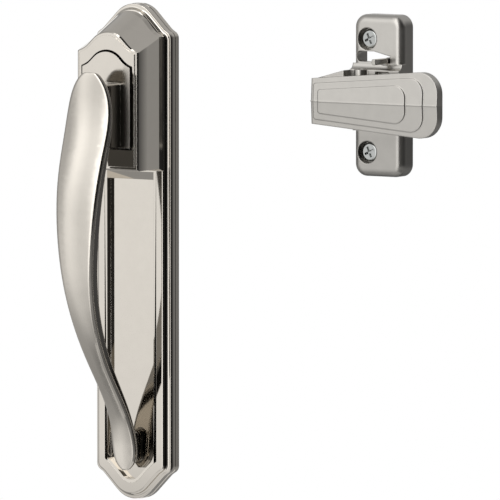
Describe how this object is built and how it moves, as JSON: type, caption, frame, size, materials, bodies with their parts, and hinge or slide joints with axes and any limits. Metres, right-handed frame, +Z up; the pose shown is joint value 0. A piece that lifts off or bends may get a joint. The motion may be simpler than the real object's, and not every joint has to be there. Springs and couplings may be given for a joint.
{
  "type": "bar handle latch set",
  "caption": "Storm-door handle set: a bowed pull bar with a plunger block on an ogee escutcheon, and an inside latch with a tapered thumb lever and a lock tab.",
  "frame": {"origin": "on the door's face, midway between the two threaded posts of the outside handle", "axes": "+Z up along the escutcheon, +Y from the front into the door, +X towards the inside latch"},
  "size_m": [0.1674, 0.0698, 0.197],
  "materials": {
    "polished_nickel": "mirror-polished nickel plate",
    "satin_nickel": "satin nickel plate",
    "cast_nickel": "satin nickel plate on a die casting",
    "lock_steel": "plated sheet steel",
    "bright_zinc": "bright zinc plate",
    "plated_steel": "zinc-plated steel",
    "spring_steel": "drawn spring steel"
  },
  "bodies": {
    "root": {"escutcheon": "polished_nickel", "hinge_pin": "spring_steel", "hinge_keeper": "plated_steel", "keeper_screws": "plated_steel", "back_cover": "plated_steel", "cover_screws": "plated_steel", "upper_post": "plated_steel", "lower_post": "plated_steel", "return_spring": "spring_steel", "latch_base": "cast_nickel", "lever_pin": "spring_steel", "lever_spring": "spring_steel", "lock_retainer": "plated_steel", "retainer_rivets": "plated_steel", "upper_screw": "bright_zinc", "lower_screw": "bright_zinc"},
    "handle": {"pull_bar": "satin_nickel", "pull_rod": "plated_steel", "rod_nut": "plated_steel", "spring_washer": "plated_steel", "rod_clip": "spring_steel"},
    "lever": {"latch_lever": "cast_nickel"},
    "lock": {"lock_tab": "lock_steel", "lock_spring": "spring_steel"}
  },
  "joints": [
    {"name": "handle_pull", "type": "hinge", "parent": "root", "child": "handle", "pos_m": [0, -0.00335, -0.1394], "axis": [1, 0, 0], "range_deg": [0, 3.2], "stiffness_Nm_per_rad": 14.5, "springref_deg": -5.5, "deforming": ["return_spring"]},
    {"name": "lever_turn", "type": "hinge", "parent": "root", "child": "lever", "pos_m": [0.1099, -0.0108, 0.0041], "axis": [0, 0, 1], "range_deg": [0, 9.5], "stiffness_Nm_per_rad": 0.06, "springref_deg": -22.92, "deforming": ["lever_spring"]},
    {"name": "lock_slide", "type": "slide", "parent": "root", "child": "lock", "axis": [0.9703, 0, -0.2419], "range_m": [-0.008, 0]}
  ]
}
